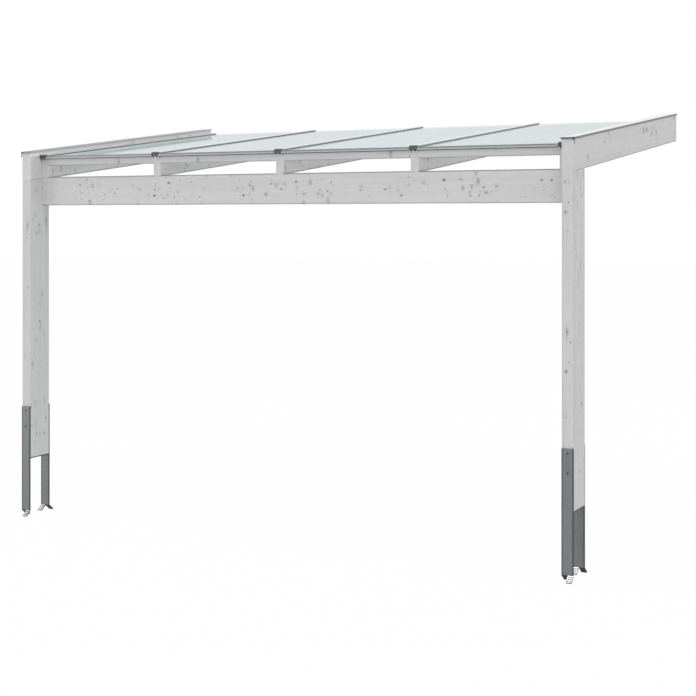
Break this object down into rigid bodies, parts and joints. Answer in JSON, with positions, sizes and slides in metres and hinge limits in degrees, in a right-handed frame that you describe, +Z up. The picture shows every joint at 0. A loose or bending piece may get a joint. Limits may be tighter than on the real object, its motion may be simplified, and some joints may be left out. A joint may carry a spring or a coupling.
{
  "type": "attached patio cover",
  "caption": "Lean-to timber patio cover on two posts in steel ground anchors, with a translucent multiwall roof, fixed to a house wall along its rear edge.",
  "frame": {"origin": "in the wall plane, on the rear face of the wall plate, at mid-width and mid-height of that face", "axes": "+X along the wall to the right as seen from the garden, +Y square into the wall, +Z up"},
  "size_m": [4.512, 2.6426, 3.1648],
  "materials": {
    "stained_timber": "white-grey stain",
    "anchor_steel": "matt grey coat",
    "capping_sheet": "matt grey coat",
    "roof_sheet": "milky multiwall sheet",
    "glazing_bar": "mill finish",
    "end_cap": "dark grey moulding",
    "edge_profile": "mill finish",
    "filler_strip": "pale strip"
  },
  "bodies": {
    "root": {"left_post": "stained_timber", "right_post": "stained_timber", "left_anchor": "anchor_steel", "right_anchor": "anchor_steel", "front_beam": "stained_timber", "left_side_beam": "stained_timber", "right_side_beam": "stained_timber", "left_side_capping": "capping_sheet", "right_side_capping": "capping_sheet", "wall_plate": "stained_timber", "left_edge_filler": "filler_strip", "right_edge_filler": "filler_strip", "rafter_1": "stained_timber", "glazing_bar_base_1": "glazing_bar", "glazing_bar_cap_1": "glazing_bar", "bar_end_cap_1": "end_cap", "rafter_2": "stained_timber", "glazing_bar_base_2": "glazing_bar", "glazing_bar_cap_2": "glazing_bar", "bar_end_cap_2": "end_cap", "rafter_3": "stained_timber", "glazing_bar_base_3": "glazing_bar", "glazing_bar_cap_3": "glazing_bar", "bar_end_cap_3": "end_cap", "rafter_4": "stained_timber", "glazing_bar_base_4": "glazing_bar", "glazing_bar_cap_4": "glazing_bar", "bar_end_cap_4": "end_cap", "rafter_5": "stained_timber", "glazing_bar_base_5": "glazing_bar", "glazing_bar_cap_5": "glazing_bar", "bar_end_cap_5": "end_cap", "eaves_nogging_1": "stained_timber", "roof_panel_1": "roof_sheet", "panel_edge_profile_1": "edge_profile", "eaves_nogging_2": "stained_timber", "roof_panel_2": "roof_sheet", "panel_edge_profile_2": "edge_profile", "eaves_nogging_3": "stained_timber", "roof_panel_3": "roof_sheet", "panel_edge_profile_3": "edge_profile", "eaves_nogging_4": "stained_timber", "roof_panel_4": "roof_sheet", "panel_edge_profile_4": "edge_profile"}
  },
  "joints": []
}
